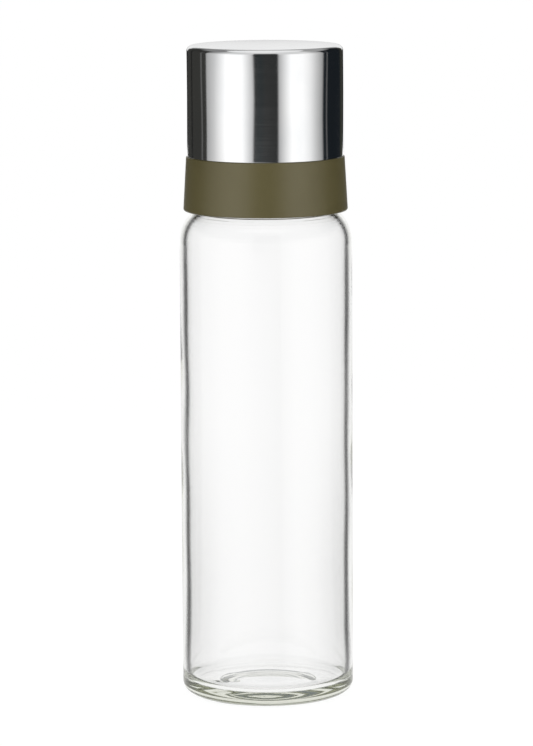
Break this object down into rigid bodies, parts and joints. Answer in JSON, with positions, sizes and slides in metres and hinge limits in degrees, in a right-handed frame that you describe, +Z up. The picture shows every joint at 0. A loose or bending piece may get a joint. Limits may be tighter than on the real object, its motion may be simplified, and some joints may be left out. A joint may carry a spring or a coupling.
{
  "type": "oil dispenser",
  "caption": "Cylindrical clear glass oil bottle with a plastic screw collar, a drip-return pourer with a slanted spout, and a polished steel pull-off cap.",
  "frame": {"origin": "centre of the base, on the plane the bottle stands on", "axes": "+Z up along the bottle's axis, -Y the side the spout pours to"},
  "size_m": [0.054, 0.054, 0.2054],
  "materials": {
    "clear_glass": "fire-polished clear glass",
    "olive_plastic": "matte moulded polypropylene",
    "polished_steel": "mirror-polished stainless steel",
    "natural_plastic": "natural moulded polypropylene",
    "silicone": "translucent silicone rubber"
  },
  "bodies": {
    "bottle": {"bottle": "clear_glass"},
    "pourer": {"pourer_body": "natural_plastic", "pour_spout": "natural_plastic", "neck_gasket": "silicone", "cap_grip_ring": "silicone"},
    "collar": {"collar": "olive_plastic"},
    "cap": {"cap_shell": "polished_steel", "cap_liner": "olive_plastic", "spout_plug": "silicone"}
  },
  "joints": [
    {"name": "pourer_rise", "type": "slide", "parent": "bottle", "child": "pourer", "axis": [0, 0, 1], "range_m": [0, 0.00501]},
    {"name": "collar_turn", "type": "hinge", "parent": "pourer", "child": "collar", "pos_m": [0, 0, 0.162], "axis": [0, 0, 1], "range_deg": [0, 450]},
    {"name": "cap_lift", "type": "slide", "parent": "pourer", "child": "cap", "axis": [0, 0, 1], "range_m": [0, 0.045]}
  ],
  "couplings": [
    {"joint": "pourer_rise", "follows": "collar_turn", "m_per_rad": 0.00063662}
  ]
}
